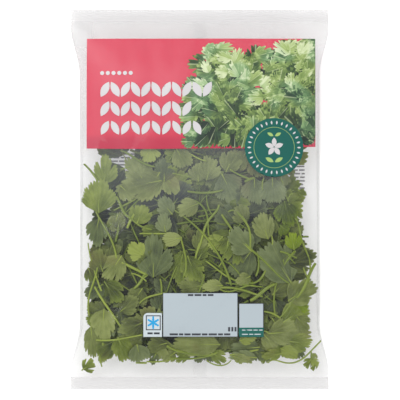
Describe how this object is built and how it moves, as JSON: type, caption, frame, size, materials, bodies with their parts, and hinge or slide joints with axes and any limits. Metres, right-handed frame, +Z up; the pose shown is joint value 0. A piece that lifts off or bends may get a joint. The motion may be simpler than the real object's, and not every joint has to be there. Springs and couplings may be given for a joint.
{
  "type": "coriander bunch in a sealed clear bag",
  "caption": "Loose leafy coriander stems with toothed fan-shaped leaflets in a sealed clear film pillow bag with a plain printed header, lying on its back.",
  "frame": {"origin": "on the surface, under the middle of the bag lying on its back", "axes": "+Z up out of the bag's printed front, +Y towards the header end, X across the bag"},
  "size_m": [0.19, 0.28, 0.031],
  "materials": {
    "film": "clear, slightly hazy polypropylene film with a printed header and label, soft gloss",
    "leaf_mid": "fresh mid-green leaf blade and stalk, soft waxy sheen",
    "leaf_light": "fresh light yellow-green leaf blade and stalk, soft waxy sheen",
    "leaf_deep": "deep blue-green leaf blade and stalk, soft waxy sheen"
  },
  "bodies": {
    "root": {"film_bag": "film", "stem_1_1": "leaf_mid", "stem_1_2": "leaf_light", "stem_1_3": "leaf_deep", "stem_2_1": "leaf_light", "stem_2_2": "leaf_deep", "stem_2_3": "leaf_mid", "stem_3_1": "leaf_deep", "stem_3_2": "leaf_mid", "stem_3_3": "leaf_light", "stem_3_4": "leaf_deep", "stem_4_1": "leaf_mid", "stem_4_2": "leaf_light", "stem_4_3": "leaf_deep", "stem_4_4": "leaf_mid", "stem_5_1": "leaf_light", "stem_5_2": "leaf_deep", "stem_5_3": "leaf_mid", "stem_6_1": "leaf_deep", "stem_6_2": "leaf_mid", "stem_6_3": "leaf_light", "stem_7_1": "leaf_mid", "stem_7_2": "leaf_light", "stem_7_3": "leaf_deep", "stem_7_4": "leaf_mid", "stem_8_1": "leaf_light", "stem_8_2": "leaf_deep", "stem_8_3": "leaf_mid", "stem_8_4": "leaf_light", "stem_9_1": "leaf_deep", "stem_9_2": "leaf_mid", "stem_9_3": "leaf_light"}
  },
  "joints": []
}
